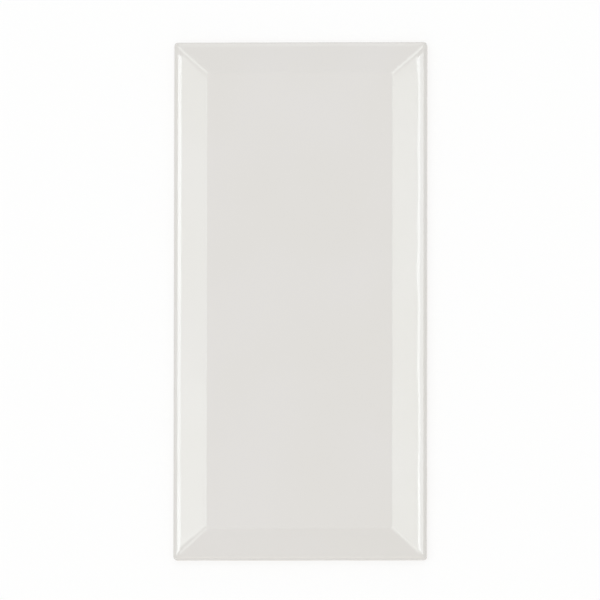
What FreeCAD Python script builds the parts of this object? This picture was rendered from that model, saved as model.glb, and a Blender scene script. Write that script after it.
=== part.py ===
import FreeCAD, Part
import math
import os
import Sketcher

# Bevelled subway wall tile: one dust-pressed ceramic piece with its glaze fused on, lying on its back.
# Millimetres: X across the tile, Y along it, Z up from the back. The origin is the middle of the back.

doc = FreeCAD.newDocument("SubwayTile")

SIZES = {
    "tile_width": 73.0,  # 2 7/8 in, laid on a 3 in module with its grout joint
    "tile_length": 149.5,  # just over 5 7/8 in, laid on a 6 in module with its grout joint
    "thickness": 7.9,  # 5/16 in, from the back to the flat of the face
    "side_bevel": 9.7,  # plan width of the bevels along the long sides
    "end_bevel": 9.0,  # plan width of the bevels along the short ends
    "side_height": 3.6,  # top of the straight side, where the rolled shoulder starts
    "roll_rise": 1.65,  # from there up to where the shoulder runs out into the bevel
    "arris_radius": 1.3,  # rounding of the corners, the mitres and the rim of the face
    "back_arris": 0.8,  # chamfer round the back
    "key_size": 10.5,  # side of one square keying recess in the back
    "key_land": 2.3,  # width of the back left standing between two recesses
    "key_border": 4.0,  # least width of the back left standing round them all
    "key_depth": 0.7,
    "key_corner": 1.5,  # rounding of a recess in plan
    "key_draft": 30.0,  # lean of a recess's walls, in degrees, so that the die lets go
}

# The sketcher numbers a line's or an arc's points up from 1 and a sketch's own axes down from -1.
START, END, CENTRE = range(1, 4)
LEVEL_AXIS, UPRIGHT_AXIS = range(-1, -3, -1)
ORIGIN = (LEVEL_AXIS, START)

LENGTH_TOLERANCE = 1e-4


def make_sheet():
    sizes = doc.addObject("Spreadsheet::Sheet", "Sizes")
    for row, (alias, value) in enumerate(SIZES.items(), 1):
        sizes.set(f"A{row}", alias)
        sizes.set(f"B{row}", str(value))
        sizes.setAlias(f"B{row}", alias)
    doc.recompute()
    return sizes


sheet = make_sheet()


def new_sketch(body, role, name):
    sketch = body.newObject("Sketcher::SketchObject", name)
    plane = next(item for item in body.Origin.OriginFeatures if item.Role == role)
    sketch.AttachmentSupport = [(plane, "")]
    sketch.MapMode = "FlatFace"
    return sketch


def line(sketch, start, end):
    return sketch.addGeometry(Part.LineSegment(FreeCAD.Vector(*start), FreeCAD.Vector(*end)))


def arc(sketch, centre, radius, first_angle, last_angle):
    circle = Part.Circle(FreeCAD.Vector(*centre), FreeCAD.Vector(0, 0, 1), radius)
    return sketch.addGeometry(Part.ArcOfCircle(circle, first_angle, last_angle))


def relate(sketch, kind, *places):
    sketch.addConstraint(Sketcher.Constraint(kind, *places))


def dimension(sketch, kind, places, name, value, expression):
    index = sketch.addConstraint(Sketcher.Constraint(kind, *places, value))
    sketch.renameConstraint(index, name)
    sketch.setExpression(f"Constraints.{name}", expression)


def section_sketch(body, role, name, extent, bevel):
    """Flat back, straight side, rolled shoulder, bevel and flat face, alike on both sides of the middle."""
    half = getattr(sheet, extent) / 2
    run = getattr(sheet, bevel)
    roll_top = sheet.side_height + sheet.roll_rise
    # The solver starts near the answer: a roll that turns the side over to a bevel drawn from its corner.
    slope = math.atan2(sheet.thickness - roll_top, run)
    radius = sheet.roll_rise / math.cos(slope)
    roll_run = radius * (1 - math.sin(slope))

    sketch = new_sketch(body, role, name)
    back = line(sketch, (-half, 0), (half, 0))
    face = line(sketch, (run - half, sheet.thickness), (half - run, sheet.thickness))
    right_side = line(sketch, (half, 0), (half, sheet.side_height))
    left_side = line(sketch, (-half, 0), (-half, sheet.side_height))
    right_roll = arc(sketch, (half - radius, sheet.side_height), radius, 0, math.pi / 2 - slope)
    left_roll = arc(sketch, (radius - half, sheet.side_height), radius, math.pi / 2 + slope, math.pi)
    right_bevel = line(sketch, (half - roll_run, roll_top), (half - run, sheet.thickness))
    left_bevel = line(sketch, (roll_run - half, roll_top), (run - half, sheet.thickness))

    relate(sketch, "PointOnObject", back, START, LEVEL_AXIS)
    relate(sketch, "Coincident", back, END, right_side, START)
    relate(sketch, "Coincident", back, START, left_side, START)
    relate(sketch, "Vertical", right_side)
    relate(sketch, "Tangent", right_side, END, right_roll, START)
    relate(sketch, "Tangent", left_side, END, left_roll, END)
    relate(sketch, "Tangent", right_roll, END, right_bevel, START)
    relate(sketch, "Coincident", left_roll, START, left_bevel, START)
    relate(sketch, "Coincident", right_bevel, END, face, END)
    relate(sketch, "Coincident", left_bevel, END, face, START)
    relate(sketch, "Symmetric", back, START, back, END, UPRIGHT_AXIS)
    relate(sketch, "Symmetric", left_side, END, right_side, END, UPRIGHT_AXIS)
    relate(sketch, "Symmetric", left_bevel, START, right_bevel, START, UPRIGHT_AXIS)
    relate(sketch, "Symmetric", face, START, face, END, UPRIGHT_AXIS)

    for kind, places, alias in (
        ("DistanceX", (back, START, back, END), extent),
        ("DistanceX", (face, END, back, END), bevel),
        ("DistanceY", (*ORIGIN, right_side, END), "side_height"),
        ("DistanceY", (right_side, END, right_bevel, START), "roll_rise"),
        ("DistanceY", (*ORIGIN, face, END), "thickness"),
    ):
        dimension(sketch, kind, places, alias, getattr(sheet, alias), f"Sizes.{alias}")
    return sketch


def section_bar(name, role, extent, bevel, length):
    """A bar of the tile's section, which runs past the tile at both ends."""
    body = doc.addObject("PartDesign::Body", name)
    bar = body.newObject("PartDesign::Pad", f"{name}_bar")
    bar.Profile = section_sketch(body, role, f"{name}_section", extent, bevel)
    bar.SideType = "Symmetric"
    bar.setExpression("Length", f"Sizes.{length} + Sizes.thickness")
    doc.recompute()
    return body


def mitre(tile, ends):
    """The two bars' common part: the bevels of the sides and the ends meet in mitres at the corners."""
    blank = tile.newObject("PartDesign::Boolean", "mitred_blank")
    blank.setObjects([ends])
    blank.Type = "Common"
    doc.recompute()
    return blank


def edge_names(shape, wanted):
    return [f"Edge{number}" for number, edge in enumerate(shape.Edges, 1) if wanted(edge.BoundBox)]


def on_arris(box):
    """Corners, rolled mitres and mitres climb; the rim of the face lies level at the top."""
    climbs = box.ZMax - box.ZMin > LENGTH_TOLERANCE
    return climbs or box.ZMin > sheet.thickness - LENGTH_TOLERANCE


def on_back(box):
    return box.ZMax < LENGTH_TOLERANCE


def round_arrises(tile, blank):
    rounded = tile.newObject("PartDesign::Fillet", "glazed_arrises")
    rounded.Base = (blank, edge_names(blank.Shape, on_arris))
    rounded.setExpression("Radius", "Sizes.arris_radius")
    doc.recompute()
    return rounded


def chamfer_back(tile, rounded):
    chamfered = tile.newObject("PartDesign::Chamfer", "back_chamfer")
    chamfered.Base = (rounded, edge_names(rounded.Shape, on_back))
    chamfered.setExpression("Size", "Sizes.back_arris")
    doc.recompute()
    return chamfered


def key_steps(extent):
    """From the first recess in a row to its last: as many steps as leave the border free."""
    room = f"Sizes.{extent} - 2 * Sizes.key_border - Sizes.key_size"
    return f"floor(({room}) / (Sizes.key_size + Sizes.key_land))"


def key_reach(extent):
    return f"{key_steps(extent)} * (Sizes.key_size + Sizes.key_land)"


def key_sketch(tile):
    """A square with rounded corners: the recess at the lower left of the grid."""
    size, radius = sheet.key_size, sheet.key_corner
    inner = size / 2 - radius
    quarter = math.pi / 2
    sketch = new_sketch(tile, "XY_Plane", "key_outline")
    right = line(sketch, (size / 2, -inner), (size / 2, inner))
    top = line(sketch, (inner, size / 2), (-inner, size / 2))
    left = line(sketch, (-size / 2, inner), (-size / 2, -inner))
    bottom = line(sketch, (-inner, -size / 2), (inner, -size / 2))
    corners = [
        arc(sketch, (across * inner, up * inner), radius, turn * quarter, (turn + 1) * quarter)
        for turn, (across, up) in enumerate(((1, 1), (-1, 1), (-1, -1), (1, -1)))
    ]
    sides = (right, top, left, bottom)
    for side, corner, next_side in zip(sides, corners, (top, left, bottom, right)):
        relate(sketch, "Tangent", side, END, corner, START)
        relate(sketch, "Tangent", corner, END, next_side, START)
    for side, kind in zip(sides, ("Vertical", "Horizontal", "Vertical", "Horizontal")):
        relate(sketch, kind, side)
    for corner in corners[1:]:
        relate(sketch, "Equal", corners[0], corner)
    relate(sketch, "Symmetric", corners[0], CENTRE, corners[2], CENTRE, *ORIGIN)
    relate(sketch, "Equal", right, top)
    dimension(sketch, "Radius", (corners[0],), "key_corner", radius, "Sizes.key_corner")
    dimension(sketch, "DistanceX", (left, START, right, START), "key_size", size, "Sizes.key_size")
    for axis, extent in (("x", "tile_width"), ("y", "tile_length")):
        sketch.setExpression(f".AttachmentOffset.Base.{axis}", f"-{key_reach(extent)} / 2")
    doc.recompute()
    return sketch


def key_back(tile, plain):
    """The waffle of shallow recesses that the adhesive keys into."""
    outline = key_sketch(tile)
    recess = tile.newObject("PartDesign::Pocket", "key_recess")
    recess.Profile = outline
    recess.Type = "Length"
    recess.Reversed = True
    recess.setExpression("Length", "Sizes.key_depth")
    recess.setExpression("TaperAngle", "-Sizes.key_draft")
    doc.recompute()

    grid = tile.newObject("PartDesign::LinearPattern", "key_grid")
    grid.Originals = [recess]
    grid.Direction = (outline, ["H_Axis"])
    grid.setExpression("Length", key_reach("tile_width"))
    grid.setExpression("Occurrences", f"{key_steps('tile_width')} + 1")
    grid.Direction2 = (outline, ["V_Axis"])
    grid.setExpression("Length2", key_reach("tile_length"))
    grid.setExpression("Occurrences2", f"{key_steps('tile_length')} + 1")
    tile.Tip = grid
    doc.recompute()

    recess_volume = plain.Shape.Volume - recess.Shape.Volume
    cut_recesses = (plain.Shape.Volume - grid.Shape.Volume) / recess_volume
    if round(cut_recesses) != grid.Occurrences * grid.Occurrences2:
        raise RuntimeError("the keying isn't cut all over the back")


def write_step(body):
    failed = [item.Name for item in doc.Objects if {"Invalid", "Error"} & set(item.State)]
    if failed:
        raise RuntimeError(f"these objects failed: {failed}")
    if body.Shape.isNull() or not body.Shape.isValid() or len(body.Shape.Solids) != 1:
        raise RuntimeError(f"{body.Label} isn't one sound solid")
    os.makedirs("parts", exist_ok=True)
    body.Shape.exportStep(f"parts/{body.Label}.step")
    box = body.Shape.BoundBox
    print(f"{body.Label}: {box.XLength:.2f} x {box.YLength:.2f} x {box.ZLength:.2f} mm,", end=" ")
    print(f"{body.Shape.Volume / 1000:.2f} cm3")


tile = section_bar("bevelled_tile", "XZ_Plane", "tile_width", "side_bevel", "tile_length")
ends = section_bar("tile_ends", "YZ_Plane", "tile_length", "end_bevel", "tile_width")
blank = mitre(tile, ends)
rounded = round_arrises(tile, blank)
chamfered = chamfer_back(tile, rounded)
key_back(tile, chamfered)
write_step(tile)
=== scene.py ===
import math

import bmesh
import bpy
from mathutils import Euler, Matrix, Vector


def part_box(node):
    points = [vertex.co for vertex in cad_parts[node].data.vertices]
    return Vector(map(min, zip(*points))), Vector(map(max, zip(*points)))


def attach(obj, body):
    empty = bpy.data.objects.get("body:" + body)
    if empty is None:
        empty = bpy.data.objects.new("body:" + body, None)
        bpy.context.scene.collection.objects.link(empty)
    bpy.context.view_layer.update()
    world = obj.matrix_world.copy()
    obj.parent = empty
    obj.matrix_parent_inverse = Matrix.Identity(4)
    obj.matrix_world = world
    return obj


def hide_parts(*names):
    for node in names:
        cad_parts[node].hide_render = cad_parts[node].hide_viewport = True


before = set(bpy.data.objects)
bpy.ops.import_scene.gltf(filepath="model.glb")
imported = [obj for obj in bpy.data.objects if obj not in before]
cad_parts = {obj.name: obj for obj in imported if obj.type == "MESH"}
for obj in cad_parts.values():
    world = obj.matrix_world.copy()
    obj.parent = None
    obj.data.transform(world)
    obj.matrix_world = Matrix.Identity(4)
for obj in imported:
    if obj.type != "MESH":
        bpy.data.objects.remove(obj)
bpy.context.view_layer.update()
mm = 0.001  # the scene is in metres, and the sizes below are in millimetres

tileLow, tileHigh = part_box("bevelled_tile")
tileWidth, tileLength, tileThickness = tileHigh - tileLow
print("frame loaded, tile", [round(side / mm, 2) for side in (tileWidth, tileLength, tileThickness)])


# Selection and finishing helpers

def selectBy(piece, kind, wanted):
    bpy.ops.mesh.select_mode(type=kind)
    bpy.ops.mesh.select_all(action="DESELECT")
    shape = bmesh.from_edit_mesh(piece.data)
    shape.normal_update()
    for part in {"VERT": shape.verts, "EDGE": shape.edges, "FACE": shape.faces}[kind]:
        if wanted(part):
            part.select_set(True)
    shape.select_flush_mode()
    bmesh.update_edit_mesh(piece.data)


def heights(part):
    levels = [corner.co.z / mm for corner in part.verts]
    return min(levels), max(levels)


def spans(edge):
    run = edge.verts[1].co - edge.verts[0].co
    return abs(run.x) / mm, abs(run.y) / mm, abs(run.z) / mm


def applyModifier(piece, name, kind, **settings):
    modifier = piece.modifiers.new(name, kind)
    for setting, value in settings.items():
        setattr(modifier, setting, value)
    bpy.ops.object.modifier_apply(modifier=modifier.name)


# The pressed tile

tileShape = {
    "sideBevel": 9.7,  # plan width of the bevels along the long sides
    "endBevel": 9.0,  # and along the short ends
    "rollWidth": 1.0,  # plan width of the tight roll at the outer edge
    "curveWidth": 1.45,  # and of the slow curve between that roll and the flat bevel
    "curveSlope": 24,  # degrees, where roll and curve meet
    "bevelSlope": 17.5,  # degrees, where the curve runs out into the bevel
    "curveTop": 5.67,  # height there
    "rollSegments": 10,
    "curveSegments": 5,
    "cornerRadius": 1.0,  # upright corners in plan
    "mitreRadius": 2.4,  # where two bevels meet
    "rimRadius": 1.3,  # where the bevels meet the face
    "arrisSegments": 6,
    "faceMargin": 1.5,  # left of the face round the even cells in its middle
    "backRadius": 0.8,  # where the sides meet the back
    "backSegments": 3,
    "cellAlong": 1.5,  # spacing of the mesh that carries the glaze's ripples, along the tile
    "cellAcross": 0.73,  # across it
    "cellUp": 0.6,  # and up the bevels
    "smoothAngle": 35,  # degrees, up to which two faces are shaded as one
}

keying = {
    "columns": 5,
    "rows": 11,
    "size": 10.5,  # side of one recess
    "land": 2.3,  # left standing between two recesses
    "depth": 0.7,
    "draft": 30,  # degrees
    "corner": 1.5,
    "cornerSegments": 4,
}

near = 0.01  # millimetres within which two places count as one
merge = 0.001  # millimetres within which two points become one
upright, lying = 90, 0  # degrees
facing = 0.99  # least share of a normal along Z, for a face that lies flat
crease = 5  # degrees, least turn of an edge that shows
alike = 0.01  # share by which two areas may differ and still count as one
shortfall = 3  # widths of a bevel that an edge may lack and still run the whole side


def ringSteps(width, steep, shallow, count):
    # inset and rise of each ring of an arc, whose slope goes from steep to shallow
    slopes = [math.radians(steep + (shallow - steep) * step / count) for step in range(count + 1)]
    radius = width * mm / (math.sin(slopes[0]) - math.sin(slopes[-1]))
    steps = []
    for before, after in zip(slopes, slopes[1:]):
        inset = radius * (math.sin(before) - math.sin(after))
        rise = radius * (math.cos(after) - math.cos(before))
        steps.append((inset, rise))
    return steps


def shoulderSteps():
    # from the top of the wall over the tight roll and the slow curve to the flat bevel
    meeting = tileShape["curveSlope"]
    roll = ringSteps(tileShape["rollWidth"], upright, meeting, tileShape["rollSegments"])
    curve = ringSteps(tileShape["curveWidth"], meeting, tileShape["bevelSlope"], tileShape["curveSegments"])
    return roll + curve


wallTop = tileShape["curveTop"] * mm - sum(rise for inset, rise in shoulderSteps())


def roundBack(tile):
    selectBy(tile, "FACE", lambda face: face.normal.z < -facing)
    for inset, rise in ringSteps(tileShape["backRadius"], upright, lying, tileShape["backSegments"]):
        bpy.ops.mesh.inset(thickness=inset)
        bpy.ops.transform.translate(value=(0, 0, -rise))


def keyBack(tile):
    pitch = keying["size"] + keying["land"]
    gridWidth = keying["columns"] * pitch * mm
    gridLength = keying["rows"] * pitch * mm
    border = (tileLength - gridLength) / 2
    selectBy(tile, "FACE", lambda face: face.normal.z < -facing and heights(face)[1] < near)
    bpy.ops.mesh.inset(thickness=border - tileShape["backRadius"] * mm)
    widen = gridWidth / (tileWidth - 2 * border)
    bpy.ops.transform.resize(value=(widen, 1, 1), center_override=(0, 0, 0))

    def inGrid(edge):
        inside = all(abs(corner.co.x) < gridWidth / 2 + near * mm for corner in edge.verts)
        within = all(abs(corner.co.y) < gridLength / 2 + near * mm for corner in edge.verts)
        return inside and within and heights(edge)[1] < near

    selectBy(tile, "EDGE", lambda edge: inGrid(edge) and spans(edge)[0] > near)
    bpy.ops.mesh.subdivide(number_cuts=keying["columns"] - 1)
    selectBy(tile, "EDGE", lambda edge: inGrid(edge) and spans(edge)[1] > near)
    bpy.ops.mesh.subdivide(number_cuts=keying["rows"] - 1)
    area = (pitch * mm) ** 2

    def isCell(face):
        return face.normal.z < -facing and abs(face.calc_area() / area - 1) < alike

    selectBy(tile, "FACE", isCell)
    bpy.ops.mesh.inset(thickness=keying["land"] / 2 * mm, use_individual=True)
    lean = keying["depth"] * math.tan(math.radians(keying["draft"]))
    bpy.ops.mesh.inset(thickness=lean * mm, depth=-keying["depth"] * mm, use_individual=True)

    def isRecessCorner(edge):
        low, high = heights(edge)
        return low < near and abs(high - keying["depth"]) < near

    selectBy(tile, "EDGE", isRecessCorner)
    bpy.ops.mesh.bevel(offset=keying["corner"] * mm, segments=keying["cornerSegments"], affect="EDGES")


def raiseShoulders(tile):
    selectBy(tile, "FACE", lambda face: face.normal.z > facing)
    for inset, rise in shoulderSteps():
        bpy.ops.mesh.inset(thickness=inset)
        bpy.ops.transform.translate(value=(0, 0, rise))


def raiseFace(tile):
    # goes on from the last ring of the shoulders, which is still selected
    shoulder = sum(inset for inset, rise in shoulderSteps())
    sideBevel, endBevel = tileShape["sideBevel"] * mm, tileShape["endBevel"] * mm
    bpy.ops.mesh.inset(thickness=endBevel - shoulder)
    narrow = (tileWidth - 2 * sideBevel) / (tileWidth - 2 * endBevel)
    bpy.ops.transform.resize(value=(narrow, 1, 1), center_override=(0, 0, 0))
    bpy.ops.transform.translate(value=(0, 0, tileThickness - tileShape["curveTop"] * mm))
    bpy.ops.mesh.inset(thickness=tileShape["faceMargin"] * mm)


def roundArrises(tile):
    # the offset grows with the angle that an edge turns through, so that each arris keeps its radius
    corner, mitre = tileShape["cornerRadius"], tileShape["mitreRadius"]
    widest = max(corner, mitre)
    shape = bmesh.from_edit_mesh(tile.data)
    shape.normal_update()
    weights = shape.edges.layers.float.new("bevel_weight_edge")
    rising = []
    for edge in shape.edges:
        low, high = heights(edge)
        across, along, up = spans(edge)
        atCorner = up > near and (across > near) == (along > near)
        inward = max(tileWidth / 2 - abs(end.co.x) for end in edge.verts) / mm
        if atCorner and high > wallTop / mm - near:
            rising.append(edge)
        elif atCorner and inward < tileShape["backRadius"] + near:
            edge[weights] = corner / widest * math.tan(edge.calc_face_angle() / 2)
    mitreTurn = min(edge.calc_face_angle() for edge in rising)
    for edge in rising:  # from the mitres over the shoulders down to the upright corners
        turn = edge.calc_face_angle()
        radius = mitre + (corner - mitre) * (turn - mitreTurn) / (math.pi / 2 - mitreTurn)
        edge[weights] = radius / widest * math.tan(turn / 2)
    bmesh.update_edit_mesh(tile.data)
    bpy.ops.object.mode_set(mode="OBJECT")
    applyModifier(
        tile,
        "arrises",
        "BEVEL",
        limit_method="WEIGHT",
        width=widest * mm,
        segments=tileShape["arrisSegments"],
        use_clamp_overlap=False,
    )
    bpy.ops.object.mode_set(mode="EDIT")


def tuckCorners(tile):
    # the rounding leaves the corner points of back and face off their arcs, so they go onto them
    def standsOut(vert, height, inward):
        aside = abs(tileWidth / 2 - abs(vert.co.x) - inward * mm) < tileShape["cornerRadius"] * mm
        atHeight = abs(vert.co.z - height) < near * mm
        return aside and atHeight and len(vert.link_edges) > tileShape["arrisSegments"]

    for height, inward in ((0, tileShape["backRadius"]), (tileThickness, tileShape["sideBevel"])):
        selectBy(tile, "VERT", lambda vert: standsOut(vert, height, inward))
        shape = bmesh.from_edit_mesh(tile.data)
        standing = next(vert for vert in shape.verts if vert.select)
        shortest = min(standing.link_edges, key=lambda edge: edge.calc_length())
        onArc = shortest.other_vert(standing).co
        pull = (onArc.x / standing.co.x, onArc.y / standing.co.y, 1)
        bpy.ops.transform.resize(value=pull, center_override=(0, 0, 0))
    bpy.ops.mesh.select_all(action="SELECT")
    bpy.ops.mesh.remove_doubles(threshold=merge * mm)


def roundRim(tile):
    # after the mitres, so that the edge of the face follows their rounding
    def onFace(edge):
        return heights(edge)[0] > tileThickness / mm - near

    def isRim(edge):
        return onFace(edge) and edge.calc_face_angle() > math.radians(crease)

    def isChord(edge):  # left across the rounded corners
        return onFace(edge) and not isRim(edge) and edge.calc_length() < tileShape["faceMargin"] * mm

    selectBy(tile, "EDGE", isChord)
    bpy.ops.mesh.dissolve_edges(use_verts=False)
    selectBy(tile, "EDGE", isRim)
    shape = bmesh.from_edit_mesh(tile.data)
    turn = max(edge.calc_face_angle() for edge in shape.edges if edge.select)
    offset = tileShape["rimRadius"] * math.tan(turn / 2)
    bpy.ops.mesh.bevel(offset=offset * mm, segments=tileShape["arrisSegments"], affect="EDGES")


def cutCells(tile):
    # even cells over face, bevels, shoulders and sides, so that the ripples below have a mesh to ride on
    length, width, bevel = tileLength / mm, tileWidth / mm, tileShape["sideBevel"]
    halfRise = (tileThickness / mm - tileShape["curveTop"]) / 2
    selectBy(tile, "EDGE", lambda edge: spans(edge)[1] > length - shortfall * bevel)
    bpy.ops.mesh.subdivide(number_cuts=round(length / tileShape["cellAlong"]))
    selectBy(tile, "EDGE", lambda edge: spans(edge)[0] > width - shortfall * bevel)
    bpy.ops.mesh.subdivide(number_cuts=round(width / tileShape["cellAcross"]))
    selectBy(tile, "EDGE", lambda edge: spans(edge)[2] > halfRise and heights(edge)[0] > wallTop / mm)
    bpy.ops.mesh.subdivide(number_cuts=round(bevel / tileShape["cellUp"]))


def makeTile():
    bpy.ops.object.select_all(action="DESELECT")
    foot = tileShape["backRadius"] * mm
    bpy.ops.mesh.primitive_cube_add(
        size=1, location=(0, 0, (wallTop + foot) / 2), scale=(tileWidth, tileLength, wallTop - foot)
    )
    tile = bpy.context.object
    tile.name = tile.data.name = "glazed_tile"
    bpy.ops.object.transform_apply(location=True, rotation=True, scale=True)
    bpy.ops.object.mode_set(mode="EDIT")
    pressing = (roundBack, keyBack, raiseShoulders, raiseFace)
    rounding = (roundArrises, tuckCorners, roundRim)
    for step in pressing + rounding + (cutCells,):
        step(tile)
        print("tile:", step.__name__)
    bpy.ops.mesh.select_all(action="SELECT")
    bpy.ops.mesh.normals_make_consistent(inside=False)
    bpy.ops.object.mode_set(mode="OBJECT")
    bpy.ops.object.shade_smooth_by_angle(angle=math.radians(tileShape["smoothAngle"]))
    return tile


# how far apart in millimetres, drawn out how many times, how high in millimetres, turned by how many degrees,
# and over which points
ripples = {
    "swell": {"spacing": 20, "along": 1.0, "height": 0.14, "turn": 25, "reach": "glazed"},
    "side_runs": {"spacing": 4.5, "along": 7.0, "height": 0.03, "turn": 0, "reach": "long_shoulders"},
    "end_runs": {"spacing": 4.5, "along": 7.0, "height": 0.03, "turn": 90, "reach": "short_shoulders"},
}

rippleOctaves = 1

glazeReach = {  # millimetres in from the outer edge, which the ripples leave straight
    "swell": 3.5,  # where the swell has its full height
    "runs": 1.2,  # where the runs have theirs
    "shoulder": 4.0,  # and where they end
}


def weighTile(tile):
    # where the glaze lies, and how far it has run at the shoulders
    names = ("glazed", "long_shoulders", "short_shoulders")
    groups = {name: tile.vertex_groups.new(name=name) for name in names}
    swell, runs, shoulder = (glazeReach[name] * mm for name in ("swell", "runs", "shoulder"))
    for corner in tile.data.vertices:
        x, y, z = corner.co
        if z < wallTop:
            continue
        fromSide = tileWidth / 2 - abs(x)
        fromEnd = tileLength / 2 - abs(y)
        fromEdge = min(fromSide, fromEnd)
        kept = min(fromEdge / runs, 1)
        weights = (
            min(fromEdge / swell, 1),
            kept * max(1 - fromSide / shoulder, 0),
            kept * max(1 - fromEnd / shoulder, 0),
        )
        for name, weight in zip(names, weights):
            groups[name].add([corner.index], weight, "REPLACE")


def rippleGlaze(tile):
    weighTile(tile)
    bpy.ops.object.empty_add()
    guide = bpy.context.object
    for name, ripple in ripples.items():
        clouds = bpy.data.textures.new(name, "CLOUDS")
        clouds.noise_scale = ripple["spacing"] * mm
        clouds.noise_depth = rippleOctaves
        guide.scale = (1, ripple["along"], 1)
        guide.rotation_euler = (0, 0, math.radians(ripple["turn"]))
        bpy.context.view_layer.update()
        bpy.context.view_layer.objects.active = tile
        applyModifier(
            tile,
            name,
            "DISPLACE",
            texture=clouds,
            texture_coords="OBJECT",
            texture_coords_object=guide,
            vertex_group=ripple["reach"],
            strength=ripple["height"] * mm,
            mid_level=0.5,  # as much up as down
        )
    bpy.data.objects.remove(guide)


tile = makeTile()
rippleGlaze(tile)
print("tile rippled, faces", len(tile.data.polygons))

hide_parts("bevelled_tile")
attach(tile, "root")


# Materials

def linear(hexColour):
    channels = [int(hexColour[start:start + 2], 16) / 255 for start in (1, 3, 5)]
    return [c / 12.92 if c <= 0.04045 else ((c + 0.055) / 1.055) ** 2.4 for c in channels] + [1]


def addNode(tree, kind, inputs=None, **settings):
    node = tree.nodes.new(kind)
    for name, value in settings.items():
        setattr(node, name, value)
    for socket, value in (inputs or {}).items():
        if isinstance(value, bpy.types.NodeSocket):
            tree.links.new(value, node.inputs[socket])
        else:
            node.inputs[socket].default_value = value
    return node


def newMaterial(name):
    material = bpy.data.materials.new(name)
    material.use_nodes = True
    material.node_tree.nodes.clear()
    return material, material.node_tree


# a Mix node's sockets share their names, so they go by number
mixFactor = 0
numberA, numberB, numberResult = 2, 3, 0
colourA, colourB, colourResult = 6, 7, 2

earthenware = {
    "glaze": "#e5e2e0",
    "glazeShade": "#e4e1de",
    "clay": "#d9cdb9",
    "clayShade": "#cbbda6",
    "speck": "#a8957c",
    "clayRoughness": 0.8,
    "ior": 1.52,
    "glazeLine": 1.9,  # millimetres up the side, where the glaze ends
    "glazeEdge": 0.25,  # half the width over which it ends
}

# millimetres between two spots, octaves, the noise levels it fades in between, and what it runs from and to
patterns = {
    "mottle": {"spacing": 26, "octaves": 2, "fade": (0.3, 0.7), "range": (0, 1)},
    # roughness of the glaze
    "shine": {"spacing": 9, "octaves": 2, "fade": (0.3, 0.7), "range": (0.035, 0.06)},
    # millimetres, with the glaze's thickness
    "peel": {"spacing": 1.6, "octaves": 1, "fade": (0, 1), "range": (0.12, 0.1208)},
    # millimetres by which the glaze's lower edge strays
    "wander": {"spacing": 6, "octaves": 2, "fade": (0.3, 0.7), "range": (-0.4, 0.4)},
    "blotch": {"spacing": 14, "octaves": 5, "fade": (0.3, 0.7), "range": (0, 1)},
    "specks": {"spacing": 1.3, "octaves": 1, "fade": (0.74, 0.8), "range": (0, 1)},
    # millimetres, and spaced wider than real grit, which would be too fine to show
    "grain": {"spacing": 0.45, "octaves": 3, "fade": (0, 1), "range": (0, 0.03)},
}


def glazedEarthenware():
    # Earthenware biscuit, dust-pressed and fired, with a gloss glaze over the face and down onto the sides.
    # The glaze gives sharp reflections over a clean off-white, and the bare clay is matt, cream and gritty.
    material, tree = newMaterial("gloss_glazed_earthenware")
    place = addNode(tree, "ShaderNodeTexCoord").outputs["Object"]

    spread = {}
    for name, pattern in patterns.items():
        noise = addNode(
            tree,
            "ShaderNodeTexNoise",
            {"Vector": place, "Scale": 1 / (pattern["spacing"] * mm), "Detail": pattern["octaves"] - 1},
        )
        fadeLow, fadeHigh = pattern["fade"]
        least, most = pattern["range"]
        faded = addNode(
            tree,
            "ShaderNodeMapRange",
            {
                "Value": noise.outputs["Fac"],
                "From Min": fadeLow,
                "From Max": fadeHigh,
                "To Min": least,
                "To Max": most,
            },
            interpolation_type="SMOOTHSTEP",
        )
        spread[name] = faded.outputs["Result"]

    height = addNode(tree, "ShaderNodeSeparateXYZ", {"Vector": place}).outputs["Z"]
    strayed = addNode(
        tree,
        "ShaderNodeMath",
        {0: spread["wander"], 1: mm, 2: height},
        operation="MULTIPLY_ADD",
    )
    line, edge = earthenware["glazeLine"] * mm, earthenware["glazeEdge"] * mm
    glazed = addNode(
        tree,
        "ShaderNodeMapRange",
        {"Value": strayed.outputs["Value"], "From Min": line - edge, "From Max": line + edge},
        interpolation_type="SMOOTHSTEP",
    ).outputs["Result"]

    colours = {"glaze": linear(earthenware["glaze"]), "clay": linear(earthenware["clay"])}
    layers = (  # laid over each other in this order
        ("glaze", spread["mottle"], linear(earthenware["glazeShade"])),
        ("clay", spread["blotch"], linear(earthenware["clayShade"])),
        ("clay", spread["specks"], linear(earthenware["speck"])),
    )
    for name, share, over in layers:
        mixed = addNode(
            tree,
            "ShaderNodeMix",
            {mixFactor: share, colourA: colours[name], colourB: over},
            data_type="RGBA",
        )
        colours[name] = mixed.outputs[colourResult]
    colour = addNode(
        tree,
        "ShaderNodeMix",
        {mixFactor: glazed, colourA: colours["clay"], colourB: colours["glaze"]},
        data_type="RGBA",
    )
    roughness = addNode(
        tree,
        "ShaderNodeMix",
        {mixFactor: glazed, numberA: earthenware["clayRoughness"], numberB: spread["shine"]},
        data_type="FLOAT",
    )
    relief = addNode(
        tree,
        "ShaderNodeMix",
        {mixFactor: glazed, numberA: spread["grain"], numberB: spread["peel"]},
        data_type="FLOAT",
    )
    bump = addNode(
        tree,
        "ShaderNodeBump",
        {"Height": relief.outputs[numberResult], "Strength": 1, "Distance": mm},
    )
    shader = addNode(
        tree,
        "ShaderNodeBsdfPrincipled",
        {
            "Base Color": colour.outputs[colourResult],
            "Roughness": roughness.outputs[numberResult],
            "Normal": bump.outputs["Normal"],
            "IOR": earthenware["ior"],
        },
    )
    addNode(tree, "ShaderNodeOutputMaterial", {"Surface": shader.outputs["BSDF"]})
    return material


tile.data.materials.append(glazedEarthenware())
print("tile glazed")


# Studio

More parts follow.
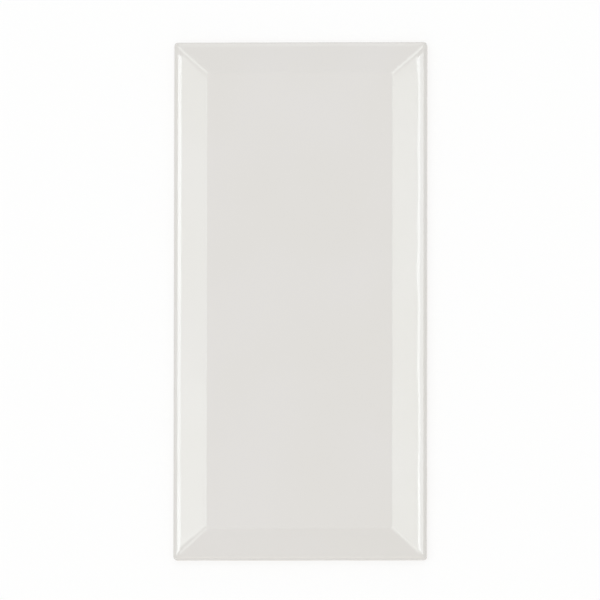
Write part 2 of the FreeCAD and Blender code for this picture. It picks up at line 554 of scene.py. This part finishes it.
studio = {
    "floor": "#f2f2f2",
    "floorSize": 12,  # metres
    "floorDrop": 0.05,  # millimetres below the tile, so that the two don't flicker
    "floorSeen": "#ffffff",  # its colour where it is looked at
    "floorLift": 0.8,  # and how far that goes to plain white, which leaves a faint shadow
    "sides": 0.61,  # brightness of the room all round, level with the floor
    "overhead": 0.31,  # more of it straight up
    "overheadPower": 6,  # how near to straight up that stays
    "zenithTint": "#ffffff",  # of the room above and beyond the short ends
    "flankTint": "#fafff9",  # and beyond the long sides
    "flankPower": 2,  # how near to the long sides that stays
}

view = {
    "lens": 800,  # millimetres, as good as from far away
    "sensor": 36,
    "tiltRight": 3.1,  # degrees
    "tiltDown": 3.6,
    "turn": 0.08,
    "frameWidth": 172.97,  # millimetres
    "aim": (-0.12, 0.31, 2.7),  # what the middle of the picture shows
    "clipEnd": 20,  # metres
}


def layFloor():
    bpy.ops.object.select_all(action="DESELECT")
    bpy.ops.mesh.primitive_plane_add(size=studio["floorSize"], location=(0, 0, -studio["floorDrop"] * mm))
    floor = bpy.context.object
    floor.name = "floor"
    material, tree = newMaterial("white_paper")
    path = addNode(tree, "ShaderNodeLightPath").outputs
    seen = path["Is Camera Ray"]
    for ray in ("Is Glossy Ray", "Is Transmission Ray"):
        either = addNode(tree, "ShaderNodeMath", {0: seen, 1: path[ray]}, operation="MAXIMUM")
        seen = either.outputs["Value"]
    lift = addNode(tree, "ShaderNodeMath", {0: seen, 1: studio["floorLift"]}, operation="MULTIPLY")
    colour = addNode(
        tree,
        "ShaderNodeMix",
        {mixFactor: seen, colourA: linear(studio["floor"]), colourB: linear(studio["floorSeen"])},
        data_type="RGBA",
    )
    paper = addNode(tree, "ShaderNodeBsdfDiffuse", {"Color": colour.outputs[colourResult]})
    white = addNode(tree, "ShaderNodeEmission", {"Strength": 1})
    mixed = addNode(
        tree,
        "ShaderNodeMixShader",
        {0: lift.outputs["Value"], 1: paper.outputs["BSDF"], 2: white.outputs["Emission"]},
    )
    addNode(tree, "ShaderNodeOutputMaterial", {"Surface": mixed.outputs["Shader"]})
    floor.data.materials.append(material)


def setWorld():
    # a pale room, brightest overhead and faintly green beyond the long sides
    world = bpy.data.worlds.new("studio")
    world.use_nodes = True
    tree = world.node_tree
    tree.nodes.clear()
    towards = addNode(tree, "ShaderNodeTexCoord").outputs["Generated"]
    axes = addNode(tree, "ShaderNodeSeparateXYZ", {"Vector": towards}).outputs
    upward = addNode(tree, "ShaderNodeMath", {0: axes["Z"], 1: studio["overheadPower"]}, operation="POWER")
    brightness = addNode(
        tree,
        "ShaderNodeMath",
        {0: upward.outputs["Value"], 1: studio["overhead"], 2: studio["sides"]},
        operation="MULTIPLY_ADD",
    )
    flank = addNode(tree, "ShaderNodeMath", {0: axes["X"], 1: studio["flankPower"]}, operation="POWER")
    tint = addNode(
        tree,
        "ShaderNodeMix",
        {
            mixFactor: flank.outputs["Value"],
            colourA: linear(studio["zenithTint"]),
            colourB: linear(studio["flankTint"]),
        },
        data_type="RGBA",
    )
    room = addNode(
        tree,
        "ShaderNodeBackground",
        {"Color": tint.outputs[colourResult], "Strength": brightness.outputs["Value"]},
    )
    addNode(tree, "ShaderNodeOutputWorld", {"Surface": room.outputs["Background"]})
    bpy.context.scene.world = world


key = {
    "place": (-0.25, 0.08, 2.0),  # metres
    "size": 1.6,
    "share": 0.248,  # of plain white on the face
}

panels = {  # lean in round the tile, so many degrees round from its right, with the brightness and tint
    "right_panel": {"round": 0, "radiance": 0.3, "tint": "#fafff2"},
    "top_panel": {"round": 90, "radiance": 0.9, "tint": "#ffffff"},
    "left_panel": {"round": 180, "radiance": 0.3, "tint": "#fafff2"},
    "bottom_panel": {"round": 270, "radiance": 0.85, "tint": "#fff6e8"},
}
panelLean = (52, 88)  # degrees off the vertical
panelRun = (-0.25, 0.25)  # metres

# Cards are seen only as reflections in the glaze. They lean by degrees off the vertical, and their runs go
# from one place to another along the tile, in metres, with the brightness of each.
softWhite = "#f5fffa"
hardWhite = "#f4fcff"
cards = {
    "left_rim": {"tint": softWhite, "lean": (-28, -17), "runs": ((-0.04, 0.165, 3.5),)},
    "left_soft": {
        "tint": softWhite,
        "lean": (-37.8, -28),
        "runs": (
            (-0.05, -0.024, 2.6),
            (-0.024, 0.034, 2.0),
            (0.034, 0.118, 1.55),
            (0.118, 0.165, 1.35),
            (0.165, 0.3, 0.3),
        ),
    },
    "left_tail": {"tint": softWhite, "lean": (-32, -28), "runs": ((-0.1, -0.05, 1.7),)},
    "left_bright": {
        "tint": softWhite,
        "lean": (-42.4, -37.8),
        "runs": ((-0.05, -0.024, 3.0), (-0.024, 0.034, 2.4), (0.034, 0.118, 1.95), (0.118, 0.165, 1.75)),
    },
    "left_strip": {
        "tint": hardWhite,
        "lean": (-52, -42.4),
        "runs": ((-0.25, -0.005, 5.6), (-0.005, 0.062, 4.7), (0.062, 0.154, 5.6)),
    },
    "right_rim": {"tint": softWhite, "lean": (17, 22), "runs": ((-0.04, 0.165, 3.5),)},
    "right_soft": {
        "tint": softWhite,
        "lean": (22, 31.6),
        "runs": ((-0.23, -0.004, 1.9), (-0.004, 0.136, 2.05), (0.136, 0.165, 1.4), (0.165, 0.26, 0.25)),
    },
    "right_bright": {
        "tint": softWhite,
        "lean": (31.6, 34),
        "runs": ((-0.06, -0.004, 2.2), (-0.004, 0.136, 2.35), (0.136, 0.165, 1.7)),
    },
    "right_strip": {
        "tint": hardWhite,
        "lean": (34, 39),
        "runs": ((-0.25, -0.017, 6.2), (-0.017, -0.004, 7.4), (-0.004, 0.112, 5.6), (0.112, 0.154, 5.8)),
    },
    "right_haze": {"tint": hardWhite, "lean": (39, 54), "runs": ((-0.25, 0.154, 3.0),)},
}
cardReach = 1.0  # metres from the tile to a card

mitreCards = {  # degrees off the vertical and round it, and the brightness
    "mitre_top_left": {"lean": (23, 50), "round": 132, "radiance": 1.9},
    "mitre_top_right": {"lean": (19.5, 52), "round": 46, "radiance": 2.75},
    "mitre_bottom_left": {"lean": (19, 35), "round": 232, "radiance": 1.7},
    "mitre_bottom_right": {"lean": (15, 31), "round": -42, "radiance": 1.9},
}
mitreRun = (-0.2, 0.2)  # metres


def hangLamp(name, size, place, turn, radiance):
    lamp = bpy.data.lights.new(name, "AREA")
    lamp.shape = "RECTANGLE"
    lamp.size, lamp.size_y = size
    lamp.energy = radiance * math.pi * size[0] * size[1]  # watts
    holder = bpy.data.objects.new(name, lamp)
    bpy.context.collection.objects.link(holder)
    holder.location = place
    holder.rotation_euler = turn
    holder.visible_camera = False
    return holder


def hangKey():
    place = Vector(key["place"])
    slant = place.normalized().z
    radiance = key["share"] * math.pi * place.length_squared / (key["size"] ** 2 * slant)
    turn = place.to_track_quat("Z", "Y").to_euler()
    lamp = hangLamp("key", (key["size"], key["size"]), place, turn, radiance)
    lamp.visible_glossy = False


def hangCard(name, lean, around, run, radiance, tint):
    low, high = run
    width = 2 * cardReach * math.tan(math.radians(lean[1] - lean[0]) / 2)
    turn = Euler((0, math.radians(sum(lean) / 2), math.radians(around)))
    place = turn.to_matrix() @ Vector((0, (low + high) / 2, cardReach))
    lamp = hangLamp(name, (width, high - low), place, turn, radiance)
    lamp.data.color = linear(tint)[:3]
    return lamp


def setCamera():
    camera = bpy.data.cameras.new("camera")
    camera.lens = view["lens"]
    camera.sensor_width = view["sensor"]
    camera.clip_end = view["clipEnd"]
    holder = bpy.data.objects.new("camera", camera)
    bpy.context.collection.objects.link(holder)
    holder.rotation_euler = [math.radians(view[name]) for name in ("tiltDown", "tiltRight", "turn")]
    away = holder.rotation_euler.to_matrix() @ Vector((0, 0, 1))
    distance = view["frameWidth"] * mm * view["lens"] / view["sensor"]
    holder.location = Vector(view["aim"]) * mm + away * distance
    bpy.context.scene.camera = holder


layFloor()
setWorld()
hangKey()
for name, panel in panels.items():
    hangCard(name, panelLean, panel["round"], panelRun, panel["radiance"], panel["tint"])
for name, card in cards.items():
    for low, high, radiance in card["runs"]:
        lamp = hangCard(name, card["lean"], 0, (low, high), radiance, card["tint"])
        lamp.visible_diffuse = False
for name, card in mitreCards.items():
    lamp = hangCard(name, card["lean"], card["round"], mitreRun, card["radiance"], softWhite)
    lamp.visible_diffuse = False
setCamera()
bpy.context.scene.view_settings.view_transform = "Standard"
print("studio lit, lamps", len(bpy.data.lights))
